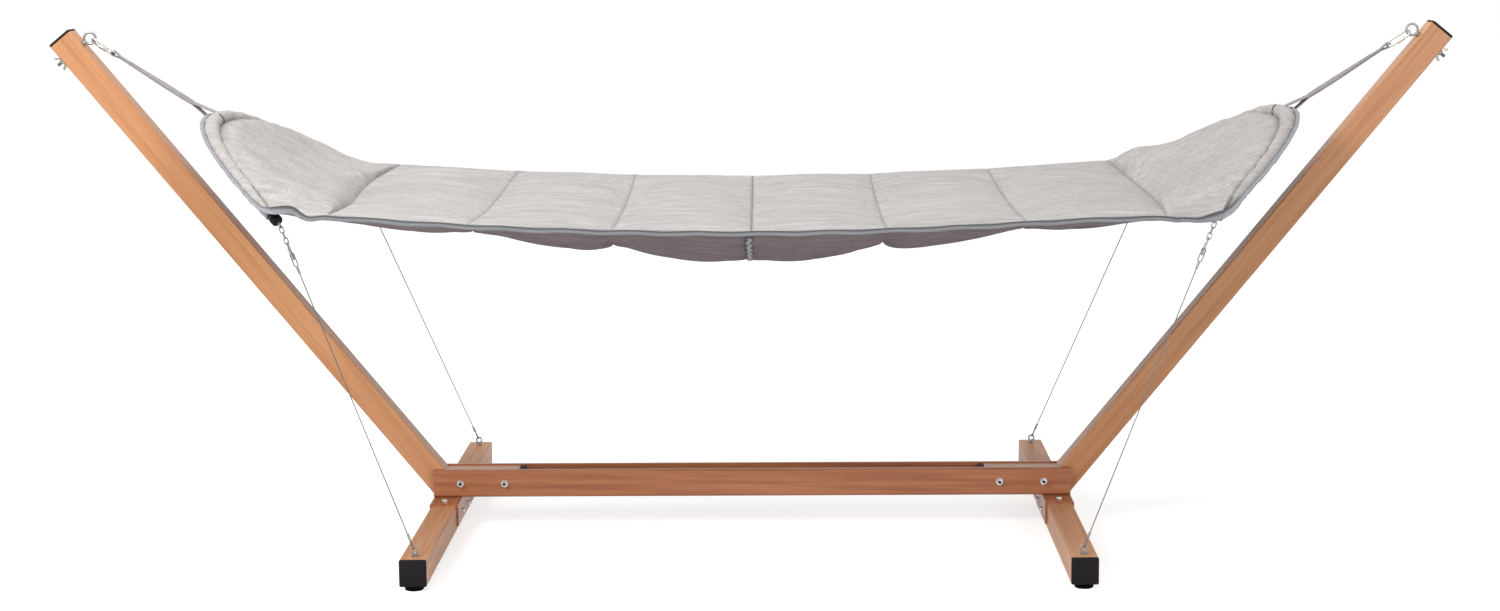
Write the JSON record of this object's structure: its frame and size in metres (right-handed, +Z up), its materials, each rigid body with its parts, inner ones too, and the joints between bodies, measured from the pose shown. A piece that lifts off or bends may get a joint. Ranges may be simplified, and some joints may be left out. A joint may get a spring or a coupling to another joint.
{
  "type": "hammock with stand",
  "caption": "Quilted padded hammock bed on curved spreader bows, hung by straps between two slanted arms of a wood-look beam stand with cross feet and wire stays.",
  "frame": {"origin": "on the floor, under the middle of the base beam", "axes": "+X along the beam and the bed, +Z up, the front is towards -Y"},
  "size_m": [3.3048, 1.32, 1.2037],
  "materials": {
    "wood_look_metal": "satin wood-grain coating on metal tube",
    "black_plastic": "matte black",
    "black_rubber": "matte black",
    "dark_tube": "satin dark grey",
    "grey_fabric": "light warm grey slub weave",
    "grey_webbing": "mid grey webbing",
    "bright_steel": "bright zinc and stainless"
  },
  "bodies": {
    "stand": {"base_beam": "wood_look_metal", "arm_left": "wood_look_metal", "arm_right": "wood_look_metal", "arm_cap_left": "black_plastic", "arm_cap_right": "black_plastic", "stub_cap_left": "black_plastic", "stub_cap_right": "black_plastic", "foot_bar_left": "wood_look_metal", "foot_bar_right": "wood_look_metal", "saddle_left": "wood_look_metal", "saddle_right": "wood_look_metal", "top_eye_bolt_left": "bright_steel", "top_eye_bolt_right": "bright_steel", "foot_cap_left_front": "black_plastic", "foot_cap_left_back": "black_plastic", "foot_cap_right_front": "black_plastic", "foot_cap_right_back": "black_plastic", "rubber_foot_left_front": "black_rubber", "rubber_foot_left_back": "black_rubber", "rubber_foot_right_front": "black_rubber", "rubber_foot_right_back": "black_rubber", "foot_eye_left_front": "bright_steel", "foot_eye_left_back": "bright_steel", "foot_eye_right_front": "bright_steel", "foot_eye_right_back": "bright_steel", "beam_bolt_left_outer": "bright_steel", "beam_bolt_left_inner": "bright_steel", "beam_bolt_right_outer": "bright_steel", "beam_bolt_right_inner": "bright_steel"},
    "bed": {"hammock_pad": "grey_fabric", "middle_band": "grey_webbing", "spreader_bow_left": "dark_tube", "spreader_bow_right": "dark_tube", "bow_sleeve_left": "grey_fabric", "bow_sleeve_right": "grey_fabric", "strap_left": "grey_webbing", "strap_right": "grey_webbing", "snap_hook_left": "bright_steel", "snap_hook_right": "bright_steel", "bow_cap_left_front": "black_plastic", "bow_cap_left_back": "black_plastic", "bow_cap_right_front": "black_plastic", "bow_cap_right_back": "black_plastic", "stay_link_left_front": "bright_steel", "stay_link_left_back": "bright_steel", "stay_link_right_front": "bright_steel", "stay_link_right_back": "bright_steel", "stay_hook_left_front": "bright_steel", "stay_hook_left_back": "bright_steel", "stay_hook_right_front": "bright_steel", "stay_hook_right_back": "bright_steel"},
    "stay_left_front": {"stay_wire_left_front": "bright_steel"},
    "stay_left_back": {"stay_wire_left_back": "bright_steel"},
    "stay_right_front": {"stay_wire_right_front": "bright_steel"},
    "stay_right_back": {"stay_wire_right_back": "bright_steel"},
    "gate_left": {"snap_hook_gate_left": "bright_steel"},
    "wing_left": {"wing_nut_left": "bright_steel"},
    "gate_right": {"snap_hook_gate_right": "bright_steel"},
    "wing_right": {"wing_nut_right": "bright_steel"}
  },
  "joints": [
    {"name": "bed_swing", "type": "hinge", "parent": "stand", "child": "bed", "pos_m": [0, 0, 1.18125], "axis": [1, 0, 0], "range_deg": [-1.5, 1.5]},
    {"name": "stay_right_front_lean", "type": "hinge", "parent": "stand", "child": "stay_right_front", "pos_m": [0.73565, -0.622, 0.09048], "axis": [-0.8776, 0.364, 0.3119], "range_deg": [-1.25, 1.25]},
    {"name": "stay_right_back_lean", "type": "hinge", "parent": "stand", "child": "stay_right_back", "pos_m": [0.73565, 0.622, 0.09048], "axis": [-0.8776, -0.364, 0.3119], "range_deg": [-1.25, 1.25]},
    {"name": "stay_left_front_lean", "type": "hinge", "parent": "stand", "child": "stay_left_front", "pos_m": [-0.73565, -0.622, 0.09048], "axis": [-0.8776, -0.364, -0.3119], "range_deg": [-1.25, 1.25]},
    {"name": "stay_left_back_lean", "type": "hinge", "parent": "stand", "child": "stay_left_back", "pos_m": [-0.73565, 0.622, 0.09048], "axis": [-0.8776, 0.364, -0.3119], "range_deg": [-1.25, 1.25]},
    {"name": "gate_right_open", "type": "hinge", "parent": "bed", "child": "gate_right", "pos_m": [1.52161, -0.00866, 1.14924], "axis": [-0.4709, -0.5, 0.7268], "range_deg": [0, 14], "stiffness_Nm_per_rad": 0.02},
    {"name": "wing_nut_right_turn", "type": "hinge", "parent": "stand", "child": "wing_right", "pos_m": [1.62692, 0, 1.12816], "axis": [0.7749, 0, -0.632], "continuous": true},
    {"name": "gate_left_open", "type": "hinge", "parent": "bed", "child": "gate_left", "pos_m": [-1.52161, 0.00866, 1.14924], "axis": [0.4709, 0.5, 0.7268], "range_deg": [0, 14], "stiffness_Nm_per_rad": 0.02},
    {"name": "wing_nut_left_turn", "type": "hinge", "parent": "stand", "child": "wing_left", "pos_m": [-1.62692, 0, 1.12816], "axis": [-0.7749, 0, -0.632], "continuous": true}
  ],
  "couplings": [
    {"joint": "stay_right_front_lean", "follows": "bed_swing", "ratio": 0.81768},
    {"joint": "stay_right_back_lean", "follows": "bed_swing", "ratio": 0.81768},
    {"joint": "stay_left_front_lean", "follows": "bed_swing", "ratio": 0.81768},
    {"joint": "stay_left_back_lean", "follows": "bed_swing", "ratio": 0.81768}
  ]
}
